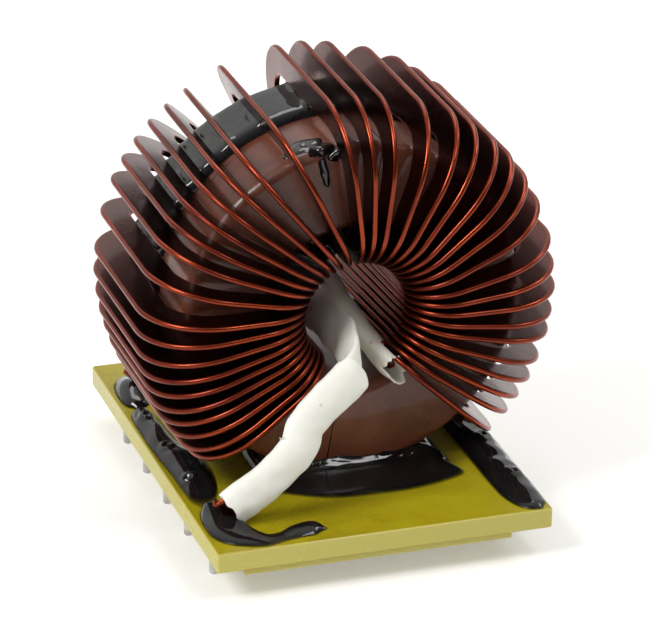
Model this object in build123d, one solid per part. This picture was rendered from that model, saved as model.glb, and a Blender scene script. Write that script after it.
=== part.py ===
# Toroidal inductor on a pinned base board, edge wound with one flat copper strip.
# Millimetres, +Z up. X runs along the board's front edge and Y runs to the rear.
# The origin lies on the floor, under the middle of the winding, where the pin tips stand.
from build123d import *
import os
from math import ceil, copysign, cos, pi, radians, sin

# Base board and the thinner spacer board under it
board_width = 52.0
board_depth = 68.0
board_thickness = 3.2
board_shift = -1.1
spacer_thickness = 1.0
spacer_margin = 0.4
spacer_left_gap = 1.3
spacer_right_gap = 3.2

# Round terminal pins, each on a six-sided shank pressed into the board, one row along each side
pin_diameter = 1.2
shank_diameter = 1.4
shank_sides = 6
pin_drop = 5.1
pin_rise = 1.0
pin_inset = 2.4
pitched_pins = 4
front_pin_gap = 13.0
rear_pin_inset = 12.0
front_pin_inset = 10.0

# Core, in two halves that are glued together at a leaning seam
core_diameter = 52.8
core_height = 26.0
core_edge = 1.6
core_lift = 0.4
coil_shift = -1.0
seam_angle = 261.0

# Black band round the rear half of the core's rim, under the turns
band_thickness = 1.1
band_width = 13.5
band_start_angle = -55.0
band_sweep_angle = 290.0

# Winding: flat strip bent on edge, so that every turn stands out as a fin
strip_width = 4.8
strip_thickness = 0.75
front_corner = 11.2
rear_corner = 9.2
hole_corner = 7.4
corner_flat = 4.5
hole_diameter = 15.6
bore_gap = 0.2
rim_gap = 0.6
face_gap = 3.0
winding_shift = 0.9
first_turn_angle = -45.1
last_turn_angle = 222.0
first_leg_angle = -53.5
last_leg_angle = 231.0

# Steps from turn to turn at the rim, as shares of the even step, read round from the lower right
right_side_shares = (0.95, 0.75, 0.8, 0.85, 1.1, 0.8, 0.95, 0.9, 1.05, 1.45)
upper_right_shares = (1.15, 1.0, 0.95, 1.05, 0.95, 1.3, 1.55, 1.0, 1.0)
upper_left_shares = (2.25, 1.6, 0.95, 0.85, 0.85, 0.85, 0.85, 1.3, 1.5)
left_side_shares = (0.85, 0.85, 0.75, 0.65, 0.7, 0.6, 0.7, 0.75, 0.55)

# White sleeves over the two ends of the strip
sleeve_depth = 3.3
sleeve_wall = 0.35
sleeve_clearance = 0.3
sleeve_sides = 14

# Black epoxy: a bed under the core, a bead along each pin row and one over each end of the strip
bed_width = 31.0
bed_depth = 43.0
bed_height = 1.5
bed_slope = 40.0
row_bead_height = 1.7
row_bead_slope = 30.0
left_bead_width = 6.4
left_bead_rear_gap = 0.4
left_bead_front_gap = 2.2
left_bead_shift = 0.9
right_bead_width = 5.4
right_bead_overhang = 6.5
right_bead_shift = -0.7
lead_bead_height = 2.0
lead_bead_slope = 20.0
front_bead_width = 16.6
front_bead_length = 12.6
front_bead_shift = 7.1
rear_bead_width = 5.6
rear_bead_length = 12.2
rear_bead_shift = 0.6
dab_width = 5.0
dab_height = 2.6
dab_slope = 25.0
dab_angle = 103.0

# Outlines on the board, as shares of half a width and half a length from the middle
bed_shares = (
    (-0.92, -0.54), (-0.88, -0.74), (-0.56, -0.92), (-0.08, -0.99), (0.43, -0.99), (0.87, -0.92),
    (1.0, -0.88), (0.94, -0.76), (0.8, -0.6), (0.78, 0.5), (0.58, 0.84), (0.0, 0.95), (-0.58, 0.84),
    (-0.84, 0.5),
)
left_bead_shares = (
    (-0.95, 0.28), (-0.85, -0.31), (-0.59, -0.78), (0.03, -1.0), (0.59, -0.9), (1.0, -0.66), (0.85, -0.24),
    (0.44, 0.3), (0.18, 0.92), (-0.29, 1.0), (-0.74, 0.9),
)
right_bead_shares = (
    (-0.9, 0.85), (-0.95, 0.2), (-1.0, -0.66), (-0.65, -1.0), (0.85, -0.97), (1.0, -0.6), (1.0, 0.8),
    (0.5, 1.0), (-0.5, 1.0),
)
front_bead_shares = (
    (-0.99, 0.81), (-0.99, -0.14), (-0.84, -0.84), (-0.37, -1.0), (0.16, -1.0), (0.42, -0.76),
    (0.77, -0.84), (1.0, -0.67), (0.95, -0.29), (0.54, -0.29), (0.22, -0.46), (-0.14, -0.22),
    (-0.35, 0.4), (-0.66, 1.0),
)
rear_bead_shares = (
    (-0.93, 0.54), (-1.0, -0.44), (-0.68, -1.0), (0.25, -0.89), (1.0, -0.03), (0.57, 1.0), (-0.43, 1.0),
)

# Routes of the two strip ends. In the hole, a row holds an angle about the coil's axis, a share of the
# radius that a sleeve can take, a share of the coil's half depth, and the angle of the strip's width.
# In the drop to the board, it holds shares of the way across, of the sleeve's width outwards and of
# the way down, and the same angle.
front_hole_shares = (
    (247.0, 1.36, 0.38, 245.0),
    (236.0, 0.93, -0.19, 241.0),
    (243.0, 0.92, -0.63, 243.0),
    (240.0, 1.02, -0.91, 255.0),
    (238.0, 1.28, -1.09, 285.0),
)
front_drop_shares = (
    (0.07, 0.13, 0.12, 315.0),
    (0.32, 0.2, 0.35, 315.0),
    (0.43, 0.27, 0.49, 315.0),
    (0.66, 0.33, 0.68, 315.0),
    (0.95, 0.3, 0.99, 315.0),
)
rear_hole_shares = (
    (298.5, 1.97, -0.55, 303.0),
    (296.0, 0.97, -0.14, 298.0),
    (317.0, 0.46, 0.43, 295.0),
    (292.0, 0.23, 1.0, 290.0),
    (249.0, 0.59, 1.17, 300.0),
)
rear_drop_shares = (
    (0.14, -0.13, 0.2, 315.0),
    (0.42, -0.2, 0.49, 315.0),
    (0.7, -0.23, 0.76, 315.0),
    (0.9, -0.18, 0.89, 315.0),
)

# Heights and reaches that follow from the sizes above
board_bottom = pin_drop
board_top = board_bottom + board_thickness
coil_height = board_top + core_lift + core_diameter / 2
hole_radius = hole_diameter / 2
core_bore = hole_diameter + 2 * (strip_width + bore_gap)
rim_radius = core_diameter / 2 + band_thickness + rim_gap + strip_width
half_depth = core_height / 2 + face_gap + strip_width
leg_reach = half_depth - hole_corner
turn_reach = rim_radius - hole_radius
sleeve_width = strip_width + 2 * (sleeve_wall + sleeve_clearance)
sleeve_orbit = hole_radius - sleeve_width / 2
pin_row = board_width / 2 - pin_inset
left_pin_x = board_shift - pin_row
right_pin_x = board_shift + pin_row
rear_pin_y = board_depth / 2 - rear_pin_inset
front_pin_y = front_pin_inset - board_depth / 2
pin_pitch = (rear_pin_y - front_pin_y - front_pin_gap) / (pitched_pins - 1)
pin_places = [rear_pin_y - pin_pitch * step for step in range(pitched_pins)]
coil_axis = Axis((0, coil_shift, coil_height), (0, 1, 0))
half_turn = 180.0
on_floor = (Align.CENTER, Align.CENTER, Align.MIN)


def radial(angle):
    """Unit direction across the coil's axis, in degrees from +X towards +Z."""
    return Vector(cos(radians(angle)), 0, sin(radians(angle)))


def on_coil(radius, angle, along):
    """Point at a radius and an angle about the coil's axis, and a way along it from the middle."""
    return Vector(0, coil_shift + along, coil_height) + radial(angle) * radius


def flat_faced(rings):
    """Closed solid through rings of points, its sides cut into flat triangles from ring to ring."""
    faces = [Face(Wire.make_polygon(rings[0])), Face(Wire.make_polygon(rings[-1]))]
    for near, far in zip(rings, rings[1:]):
        for index, corner in enumerate(near):
            after = (index + 1) % len(near)
            faces.append(Face(Wire.make_polygon([corner, near[after], far[after]])))
            faces.append(Face(Wire.make_polygon([corner, far[after], far[index]])))
    return Solid(Shell(faces))


# Pins and boards
def pins_at(x):
    """One row of round pins, from the floor to the board, with shanks to just above it."""
    stem = Cylinder(pin_diameter / 2, board_bottom, align=on_floor)
    shank = extrude(RegularPolygon(shank_diameter / 2, shank_sides), board_thickness + pin_rise)
    pin = stem + Pos(0, 0, board_bottom) * shank
    return [Pos(x, y, 0) * pin for y in pin_places + [front_pin_y]]


left_pins = pins_at(left_pin_x)
right_pins = pins_at(right_pin_x)
base_board = Pos(board_shift, 0, board_bottom) * Box(board_width, board_depth, board_thickness, align=on_floor)
base_board -= left_pins + right_pins
spacer_left = left_pin_x + pin_diameter / 2 + spacer_left_gap
spacer_right = right_pin_x - pin_diameter / 2 - spacer_right_gap
spacer_depth = board_depth - 2 * spacer_margin
spacer_bottom = board_bottom - spacer_thickness
spacer_board = Pos((spacer_left + spacer_right) / 2, 0, spacer_bottom) * Box(
    spacer_right - spacer_left, spacer_depth, spacer_thickness, align=on_floor
)


# Core halves and rim band, turned about the coil's axis
def ring_section(inner, outer, front, rear):
    """Rectangle in the plane of the coil's axis and +X, between two radii and two places along Y."""
    plane = Plane((0, coil_shift, coil_height), x_dir=(1, 0, 0), z_dir=(0, 0, 1))
    middle = Pos((inner + outer) / 2, (front + rear) / 2)
    return plane * middle * Rectangle(outer - inner, rear - front)


def turned(section, start, sweep):
    """Section turned about the coil's axis, from one angle through another, towards +Z."""
    return revolve(section.rotate(coil_axis, -start), coil_axis, -sweep)


core_radius = core_diameter / 2
core_section = ring_section(core_bore / 2, core_radius, -core_height / 2, core_height / 2)
core_section = chamfer(core_section.vertices(), core_edge)
core_left_half = turned(core_section, seam_angle - half_turn, half_turn)
core_right_half = turned(core_section, seam_angle, half_turn)
band_front = core_height / 2 - band_width
band_rear = core_height / 2 - core_edge
band_section = ring_section(core_radius, core_radius + band_thickness, band_front, band_rear)
rim_band = turned(band_section, band_start_angle, band_sweep_angle)

# Turn angles: uneven at the rim, even where the inner legs pack together in the hole
step_shares = right_side_shares + upper_right_shares + upper_left_shares + left_side_shares
turn_count = len(step_shares) + 1
even_step = (last_turn_angle - first_turn_angle) / sum(step_shares)
even_leg_step = (last_leg_angle - first_leg_angle) / (turn_count - 1)
rim_angles = [first_turn_angle + even_step * sum(step_shares[:turn]) for turn in range(turn_count)]
leg_angles = [first_leg_angle + even_leg_step * turn for turn in range(turn_count)]


def turn_plane(turn):
    """Plane of a turn: from its foot at the hole outwards as X, and along the coil's axis as Y."""
    foot = on_coil(hole_radius, leg_angles[turn], winding_shift)
    tip = on_coil(rim_radius, rim_angles[turn], winding_shift)
    outward = (tip - foot).normalized()
    return Plane(foot, x_dir=outward, z_dir=outward.cross(Vector(0, 1, 0)))


def strip_ring(plane):
    """Corners of the strip's cross-section in a plane, with the strip's width along the plane's X."""
    w = strip_width / 2
    t = strip_thickness / 2
    return [plane.from_local_coords(Vector(*corner)) for corner in ((-w, -t), (w, -t), (w, t), (-w, t))]


def leg_end(turn, side, ahead):
    """Plane where a turn meets its inner leg, at the front for side -1 and at the rear for 1."""
    plane = turn_plane(turn)
    place = plane.from_local_coords(Vector(strip_width / 2, side * leg_reach, 0))
    return Plane(place, x_dir=plane.x_dir, z_dir=(0, ahead, 0))


def rounded_rectangle(width, depth, radii):
    """Rectangle about the origin, each corner an arc of short flats, in order from the rear of the rim."""
    points = []
    for quarter, radius in enumerate(radii):
        flats = ceil(radius * pi / 2 / corner_flat)
        middle = pi / 4 * (2 * quarter + 1)
        x = copysign(width / 2 - radius, cos(middle))
        y = copysign(depth / 2 - radius, sin(middle))
        for step in range(flats + 1):
            angle = pi / 2 * (quarter + step / flats)
            points.append((x + radius * cos(angle), y + radius * sin(angle)))
    return Polygon(*points, align=None)


# A turn is a rounded loop of strip, open at the hole, where slanting legs lead from turn to turn
corners = (rear_corner, hole_corner, hole_corner, front_corner)
inner_corners = [radius - strip_width for radius in corners]
loop = rounded_rectangle(turn_reach, 2 * half_depth, corners)
loop -= rounded_rectangle(turn_reach - 2 * strip_width, 2 * (half_depth - strip_width), inner_corners)
loop = Pos(turn_reach / 2, 0) * loop - Pos(strip_width / 2, 0) * Rectangle(strip_width, 2 * leg_reach)
fin = extrude(loop, strip_thickness / 2, both=True)
fins = [turn_plane(turn) * fin for turn in range(turn_count)]
legs = []
for turn in range(turn_count - 1):
    legs.append(flat_faced([strip_ring(leg_end(turn, 1, -1)), strip_ring(leg_end(turn + 1, -1, -1))]))


# Strip ends and the sleeves over them
def route(hole_shares, drop_shares, pin_y):
    """Places and width angles along one end of the strip, from the hole to its pin."""
    rows = []
    for angle, reach, along, width_angle in hole_shares:
        rows.append((on_coil(reach * sleeve_orbit, angle, along * half_depth), width_angle))
    fold = rows[-1][0]
    end = Vector(left_pin_x + pin_diameter, pin_y, board_top + strip_width / 2)
    for across, outward, down, width_angle in drop_shares:
        x = fold.X + across * (end.X - fold.X)
        z = fold.Z + down * (end.Z - fold.Z)
        rows.append((Vector(x, fold.Y - outward * sleeve_width, z), width_angle))
    rows.append((end, width_angle))
    return rows


def stations(root, rows):
    """Planes square to a route at each of its places, with X along the strip's width."""
    places = [root.origin] + [place for place, width_angle in rows]
    planes = [root]
    for index, (place, width_angle) in enumerate(rows, start=1):
        after = places[min(index + 1, len(rows))]
        ahead = (after - places[index - 1]).normalized()
        width = radial(width_angle)
        planes.append(Plane(place, x_dir=width - ahead * width.dot(ahead), z_dir=ahead))
    return planes


def oval_rings(planes, width, depth):
    """Rings of points on an oval, one in each plane."""
    turns = [2 * pi * side / sleeve_sides for side in range(sleeve_sides)]
    oval = [Vector(width / 2 * cos(turn), depth / 2 * sin(turn)) for turn in turns]
    return [[plane.from_local_coords(point) for point in oval] for plane in planes]


def sleeve(planes):
    """Hollow oval sleeve through planes, open at both ends."""
    outer = flat_faced(oval_rings(planes, sleeve_width, sleeve_depth))
    bore_width = sleeve_width - 2 * sleeve_wall
    bore_depth = sleeve_depth - 2 * sleeve_wall
    return outer - flat_faced(oval_rings(planes, bore_width, bore_depth))


front_root = leg_end(turn_count - 1, 1, -1)
rear_root = leg_end(0, -1, 1)
front_planes = stations(front_root, route(front_hole_shares, front_drop_shares, front_pin_y))
rear_planes = stations(rear_root, route(rear_hole_shares, rear_drop_shares, rear_pin_y))
front_end = flat_faced([strip_ring(plane) for plane in front_planes])
rear_end = flat_faced([strip_ring(plane) for plane in rear_planes])
front_sleeve = sleeve(front_planes[1:-1])
rear_sleeve = sleeve(rear_planes[1:-1])
winding = Part() + (fins + legs + [front_end, rear_end])


# Epoxy, poured round what it holds
def poured(plane, width, length, shares, height, slope):
    """Flat-topped pool on a plane, its outline in shares of half its width and length."""
    points = [(across * width / 2, along * length / 2) for across, along in shares]
    return plane * extrude(Polygon(*points, align=None), height, taper=slope)


def on_board(x, y):
    """Plane on the board's top."""
    return Plane((x, y, board_top))


core_bed_epoxy = poured(on_board(0, coil_shift), bed_width, bed_depth, bed_shares, bed_height, bed_slope)
core_bed_epoxy -= [core_left_half, core_right_half]
left_bead_rear = rear_pin_y - rear_bead_length / 2 - left_bead_rear_gap
left_bead_front = front_pin_y + front_bead_length / 2 + left_bead_front_gap
left_pin_epoxy = poured(
    on_board(left_pin_x + left_bead_shift, (left_bead_rear + left_bead_front) / 2),
    left_bead_width,
    left_bead_rear - left_bead_front,
    left_bead_shares,
    row_bead_height,
    row_bead_slope,
)
left_pin_epoxy -= left_pins
right_pin_epoxy = poured(
    on_board(right_pin_x + right_bead_shift, (front_pin_y + rear_pin_y) / 2),
    right_bead_width,
    rear_pin_y - front_pin_y + 2 * right_bead_overhang,
    right_bead_shares,
    row_bead_height,
    row_bead_slope,
)
right_pin_epoxy -= right_pins
front_lead_epoxy = poured(
    on_board(left_pin_x + front_bead_shift, front_pin_y),
    front_bead_width,
    front_bead_length,
    front_bead_shares,
    lead_bead_height,
    lead_bead_slope,
)
front_lead_epoxy -= left_pins + [front_end, front_sleeve]
rear_lead_epoxy = poured(
    on_board(left_pin_x + rear_bead_shift, rear_pin_y),
    rear_bead_width,
    rear_bead_length,
    rear_bead_shares,
    lead_bead_height,
    lead_bead_slope,
)
rear_lead_epoxy -= left_pins + [rear_end, rear_sleeve]
dab_place = on_coil(core_radius - core_edge, dab_angle, core_edge - core_height / 2)
dab_plane = Plane(dab_place, x_dir=(1, 0, 0), z_dir=radial(dab_angle) - Vector(0, 1, 0))
dab_sides = 6
top_dab_epoxy = dab_plane * extrude(RegularPolygon(dab_width / 2, dab_sides), dab_height, taper=dab_slope)
top_dab_epoxy -= [core_left_half, core_right_half]

# One file per piece
nodes = {
    "core_left_half": core_left_half,
    "core_right_half": core_right_half,
    "rim_band": rim_band,
    "winding": winding,
    "front_sleeve": front_sleeve,
    "rear_sleeve": rear_sleeve,
    "base_board": base_board,
    "spacer_board": spacer_board,
    "left_pins": Compound(left_pins),
    "right_pins": Compound(right_pins),
    "core_bed_epoxy": core_bed_epoxy,
    "left_pin_epoxy": left_pin_epoxy,
    "right_pin_epoxy": right_pin_epoxy,
    "front_lead_epoxy": front_lead_epoxy,
    "rear_lead_epoxy": rear_lead_epoxy,
    "top_dab_epoxy": top_dab_epoxy,
}
os.makedirs("parts", exist_ok=True)
for name, shape in nodes.items():
    export_step(shape, f"parts/{name}.step")
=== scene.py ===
import logging
from dataclasses import dataclass
from enum import Enum

import bpy
import numpy as np
from mathutils import Matrix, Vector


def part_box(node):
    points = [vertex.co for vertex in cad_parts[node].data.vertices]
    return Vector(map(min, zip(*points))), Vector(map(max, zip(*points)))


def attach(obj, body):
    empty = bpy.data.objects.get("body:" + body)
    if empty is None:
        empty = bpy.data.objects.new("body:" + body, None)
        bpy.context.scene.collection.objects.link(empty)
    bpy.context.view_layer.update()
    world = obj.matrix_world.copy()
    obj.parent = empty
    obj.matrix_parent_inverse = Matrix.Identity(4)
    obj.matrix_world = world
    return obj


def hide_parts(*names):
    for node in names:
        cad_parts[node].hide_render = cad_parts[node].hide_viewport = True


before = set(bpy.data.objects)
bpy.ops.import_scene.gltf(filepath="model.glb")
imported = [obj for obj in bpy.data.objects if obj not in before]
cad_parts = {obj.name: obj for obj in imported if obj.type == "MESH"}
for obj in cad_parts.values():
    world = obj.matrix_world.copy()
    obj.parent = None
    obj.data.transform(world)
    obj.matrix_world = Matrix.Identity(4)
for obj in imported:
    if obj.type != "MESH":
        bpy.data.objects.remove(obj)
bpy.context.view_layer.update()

# Toroidal inductor on a pinned base board: what each surface looks like, in the frame of the solids.
# Sizes are in millimetres here, and turn into metres where a mesh is made.
MM = 0.001
TURN = 2 * np.pi

# Middles of the two rows of pins, and the places of the pins along each row
LEFT_PINS_X = -24.7
RIGHT_PINS_X = 22.5
PIN_PLACES = (22.0, 11.0, 0.0, -11.0, -24.0)

Array = np.ndarray
log = logging.getLogger("inductor")


# Arithmetic on whole arrays of points

def unit(vectors: Array) -> Array:
    """Each vector divided by its own length."""
    return vectors / np.linalg.norm(vectors, axis=-1, keepdims=True)


def ease(share: Array) -> Array:
    """Smooth step: 3 s squared minus 2 s cubed, for a share s held between 0 and 1."""
    held = np.clip(share, 0.0, 1.0)
    return held * held * (3 - 2 * held)


def hump(distance: Array, width: float) -> Array:
    """Bell curve: e to the power of minus the square of distance over width."""
    return np.exp(-((distance / width) ** 2))


def radial(degrees: Array) -> Array:
    """Unit directions across the coil's axis, in degrees from +X towards +Z."""
    angle = np.radians(np.asarray(degrees, float))
    return np.stack([np.cos(angle), np.zeros_like(angle), np.sin(angle)], axis=-1)


def ripple(points: Array, size: float, seed: int, waves: int = 20) -> Array:
    """Smooth uneven field: the sum of sine waves in random directions, over the root of their number.

    Args:
        points: Places, with three coordinates last.
        size: Usual length of a wave, in millimetres.
        seed: Start of the random draw, so that each run gives the same field.
        waves: How many waves are added.

    Returns:
        One value for each place, mostly between -1 and 1.
    """
    draw = np.random.default_rng(seed)
    directions = unit(draw.normal(size=(waves, 3)))
    lengths = size * draw.uniform(0.6, 1.8, waves)
    phases = draw.uniform(0, TURN, waves)
    return np.sin(TURN * (points @ directions.T) / lengths + phases).sum(-1) / np.sqrt(waves)


def smooth_line(points: Array, per_span: int, closed: bool = False) -> Array:
    """Curve through points: on each span the cubic whose end slopes are half the chord between neighbours.

    Args:
        points: Rows of coordinates that the curve passes through.
        per_span: Steps from one point to the next.
        closed: Whether the last point leads back to the first.

    Returns:
        Rows of coordinates along the curve.
    """
    if closed:
        padded = np.concatenate([points[-1:], points, points[:2]])
    else:
        before = 2 * points[:1] - points[1:2]
        after = 2 * points[-1:] - points[-2:-1]
        padded = np.concatenate([before, points, after])
    s = np.linspace(0, 1, per_span, endpoint=False)[None, :, None]
    a, b, c, d = (padded[shift:len(padded) - 3 + shift][:, None] for shift in range(4))
    cubic = b + s / 2 * (c - a + s * (2 * a - 5 * b + 4 * c - d + s * (3 * (b - c) + d - a)))
    line = cubic.reshape(-1, points.shape[1])
    return line if closed else np.concatenate([line, points[-1:]])


def oval(width: float, depth: float, sides: int) -> Array:
    """Points on an oval: half the width times the cosine, and half the depth times the sine."""
    angle = np.linspace(0, TURN, sides, endpoint=False)
    return np.stack([width / 2 * np.cos(angle), depth / 2 * np.sin(angle)], axis=-1)


def rounded_box(width: float, depth: float, radius: float, per_corner: int) -> Array:
    """Rectangle about the middle with round corners: four quarter circles, one after another.

    Args:
        width: Size along x.
        depth: Size along y.
        radius: Radius of the corners.
        per_corner: Points on each corner.

    Returns:
        Points (x, y), anticlockwise.
    """
    angle = np.linspace(0, TURN / 4, per_corner)[None] + TURN / 4 * np.arange(4)[:, None]
    middle = TURN / 8 + TURN / 4 * np.arange(4)[:, None]
    x = (width / 2 - radius) * np.sign(np.cos(middle)) + radius * np.cos(angle)
    y = (depth / 2 - radius) * np.sign(np.sin(middle)) + radius * np.sin(angle)
    return np.stack([x.ravel(), y.ravel()], axis=-1)


def raised(flat: Array, height: Array | float) -> Array:
    """Places in space: the two coordinates of places on a plane, then their heights."""
    level = np.broadcast_to(height, flat.shape[:-1])
    return np.concatenate([flat, level[..., None]], axis=-1)


def carried(path: Array, width: Array, profile: Array) -> Array:
    """Profile carried along a path: each place plus the profile's x along the width and y square to it.

    Args:
        path: Places along the path.
        width: Rough direction of the profile's x at each place.
        profile: Points (x, y), shared by all places or one set for each.

    Returns:
        Grid of points, one row for each place.
    """
    ahead = unit(np.gradient(path, axis=0))
    across = unit(width - ahead * (width * ahead).sum(-1, keepdims=True))
    square = np.cross(ahead, across)
    x, y = profile[..., 0:1], profile[..., 1:2]
    if profile.ndim == 2:
        x, y = x[None], y[None]
    return path[:, None] + x * across[:, None] + y * square[:, None]


# From grids of points to Blender meshes

class Surface:
    """Mesh in the making: grids of points joined into quads, with fans over open ends."""

    def __init__(self) -> None:
        """Start with no points and no faces."""
        self.points: list[Array] = []
        self.faces: list[list[int]] = []
        self.values: list[Array] = []
        self.count = 0

    def add(self, grid: Array, ends: bool = False, values: Array | None = None) -> None:
        """Join a grid into quads, closed round each row, with the first and last row capped if asked.

        Args:
            grid: Points by row and column, anticlockwise round each row as seen from the next row.
            ends: Whether a fan of triangles to the middle closes the first and the last row.
            values: One number for each point, kept for the finish, or None for ones.
        """
        rows, columns = grid.shape[:2]
        row, column = np.meshgrid(np.arange(rows - 1), np.arange(columns), indexing="ij")
        after = (column + 1) % columns
        corners = (row * columns + column, row * columns + after)
        corners += ((row + 1) * columns + after, (row + 1) * columns + column)
        quads = np.stack(corners, axis=-1).reshape(-1, 4) + self.count
        kept = np.ones((rows, columns)) if values is None else values
        self.faces += quads.tolist()
        self._keep(grid.reshape(-1, 3), kept.ravel())
        if ends:
            first = self.count - rows * columns
            self._fan(first + np.arange(columns)[::-1], grid[0].mean(0), kept[0].mean())
            self._fan(first + (rows - 1) * columns + np.arange(columns), grid[-1].mean(0), kept[-1].mean())

    def _keep(self, points: Array, values: Array) -> None:
        """Store points with their values.

        Args:
            points: Rows of three coordinates.
            values: One number for each point.
        """
        self.points.append(points)
        self.values.append(values)
        self.count += len(points)

    def _fan(self, ring: Array, middle: Array, value: float) -> None:
        """Triangles from a ring of points to one new point in its middle.

        Args:
            ring: Numbers of the points round the ring.
            middle: Place of the new point.
            value: Number kept for it.
        """
        hub = np.full(len(ring), self.count)
        self.faces += np.stack([ring, np.roll(ring, -1), hub], axis=-1).tolist()
        self._keep(middle[None], np.array([value]))

    def piece(
        self, name: str, finish: "Finish", nodes: tuple[str, ...], crease: float = 180.0
    ) -> bpy.types.Object:
        """Blender object of this surface that stands for some of the solids.

        Args:
            name: Name of the piece.
            finish: What its surface looks like.
            nodes: Solids that it stands for.
            crease: Angle in degrees from which an edge is sharp.

        Returns:
            The object, riding on the one body.
        """
        mesh = bpy.data.meshes.new(name)
        mesh.from_pydata((np.concatenate(self.points) * MM).tolist(), [], self.faces)
        mesh.polygons.foreach_set("use_smooth", np.ones(len(mesh.polygons), bool))
        mesh.set_sharp_from_angle(angle=np.radians(crease))
        film = mesh.attributes.new("film", "FLOAT", "POINT")
        film.data.foreach_set("value", np.concatenate(self.values).astype(np.float32))
        mesh.materials.append(finish.material())
        mesh.update()
        made = bpy.data.objects.new(name, mesh)
        bpy.context.collection.objects.link(made)
        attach(made, "root")
        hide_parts(*nodes)
        log.info("%s: %d faces, for %s", name, len(self.faces), ", ".join(nodes))
        return made


# Shader nodes

class Graph:
    """Short way to add and join the nodes of one tree."""

    def __init__(self, tree: bpy.types.NodeTree) -> None:
        """Work on a tree, emptied first."""
        self.tree = tree
        tree.nodes.clear()

    def add(self, kind: str, settings: dict | None = None, **inputs: object) -> bpy.types.Node:
        """Add a node, with its settings, and with inputs that are values or other nodes' outputs.

        Args:
            kind: Blender's name for the type of node, after ShaderNode.
            settings: Values of the node's own properties.
            inputs: Values or sockets by the input's name, with underscores for spaces.

        Returns:
            The new node.
        """
        node = self.tree.nodes.new("ShaderNode" + kind)
        for name, value in (settings or {}).items():
            setattr(node, name, value)
        for name, value in inputs.items():
            self.feed(node.inputs[name.replace("_", " ")], value)
        return node

    def feed(self, socket: bpy.types.NodeSocket, value: object) -> None:
        """Join an output to a socket, or set the socket's own value.

        Args:
            socket: Input to fill.
            value: Another node's output, or a plain value.
        """
        if isinstance(value, bpy.types.NodeSocket):
            self.tree.links.new(value, socket)
        else:
            socket.default_value = value

    def blend(self, share: object, first: object, second: object) -> bpy.types.NodeSocket:
        """Colour between two others.

        Args:
            share: From 0, all of the first, to 1, all of the second.
            first: Colour or socket.
            second: Colour or socket.

        Returns:
            Socket with the colour.
        """
        node = self.add("Mix", {"data_type": "RGBA"})
        wanted = {"Factor_Float": share, "A_Color": first, "B_Color": second}
        for socket in node.inputs:
            if socket.identifier in wanted:
                self.feed(socket, wanted[socket.identifier])
        return next(socket for socket in node.outputs if socket.identifier == "Result_Color")

    def sums(self, operation: str, first: object, second: object) -> bpy.types.NodeSocket:
        """One arithmetic step on two numbers.

        Args:
            operation: Blender's name for the step.
            first: Number or socket.
            second: Number or socket.

        Returns:
            Socket with the result.
        """
        node = self.add("Math", {"operation": operation})
        self.feed(node.inputs[0], first)
        self.feed(node.inputs[1], second)
        return node.outputs[0]

    def ranged(
        self, value: object, start: float, stop: float, low: float = 0.0, high: float = 1.0
    ) -> bpy.types.NodeSocket:
        """Number moved from the range low to high into the range start to stop, and held there."""
        node = self.add("MapRange", None, Value=value, From_Min=low, From_Max=high, To_Min=start, To_Max=stop)
        return node.outputs[0]


class Effect(Enum):
    """Surface effects that several finishes share, each a node group that is built once."""

    MOTTLE = "mottle"
    RELIEF = "relief"
    SPECKS = "specks"

    def group(self) -> bpy.types.NodeTree:
        """Build the node group of this effect at its first use.

        Returns:
            The group's tree.
        """
        tree = bpy.data.node_groups.get(self.value)
        if tree is None:
            tree = bpy.data.node_groups.new(self.value, "ShaderNodeTree")
            {Effect.MOTTLE: _mottle, Effect.RELIEF: _relief, Effect.SPECKS: _specks}[self](tree)
        return tree

    def place(self, graph: Graph, **inputs: object) -> bpy.types.Node:
        """Put this effect into a material, with its own values.

        Args:
            graph: Nodes of the material.
            inputs: Values or sockets by the group's input names.

        Returns:
            The group's node.
        """
        return graph.add("Group", {"node_tree": self.group()}, **inputs)


def _sockets(tree: bpy.types.NodeTree, inputs: dict[str, str], outputs: dict[str, str]) -> tuple:
    """Named sockets of a group, and its two end nodes.

    Args:
        tree: The group's tree.
        inputs: Kind of socket by name, Float or Color.
        outputs: The same for what the group puts out.

    Returns:
        Graph of the group, its input node and its output node.
    """
    graph = Graph(tree)
    for way, names in (("INPUT", inputs), ("OUTPUT", outputs)):
        for name, kind in names.items():
            tree.interface.new_socket(name, in_out=way, socket_type="NodeSocket" + kind)
    return graph, tree.nodes.new("NodeGroupInput"), tree.nodes.new("NodeGroupOutput")


def _mottle(tree: bpy.types.NodeTree) -> None:
    """Cloudy change between two colours: soft noise of a given scale, with its contrast raised.

    Args:
        tree: The group's tree, still empty.
    """
    names = {"Scale": "Float", "Dark": "Color", "Light": "Color"}
    graph, given, out = _sockets(tree, names, {"Color": "Color", "Mask": "Float"})
    place = graph.add("TexCoord").outputs["Object"]
    noise = graph.add("TexNoise", None, Vector=place, Scale=given.outputs["Scale"], Detail=5.0, Roughness=0.6)
    mask = graph.ranged(noise.outputs["Fac"], 0.0, 1.0, low=0.3, high=0.7)
    graph.feed(out.inputs["Color"], graph.blend(mask, given.outputs["Dark"], given.outputs["Light"]))
    graph.feed(out.inputs["Mask"], mask)


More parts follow.
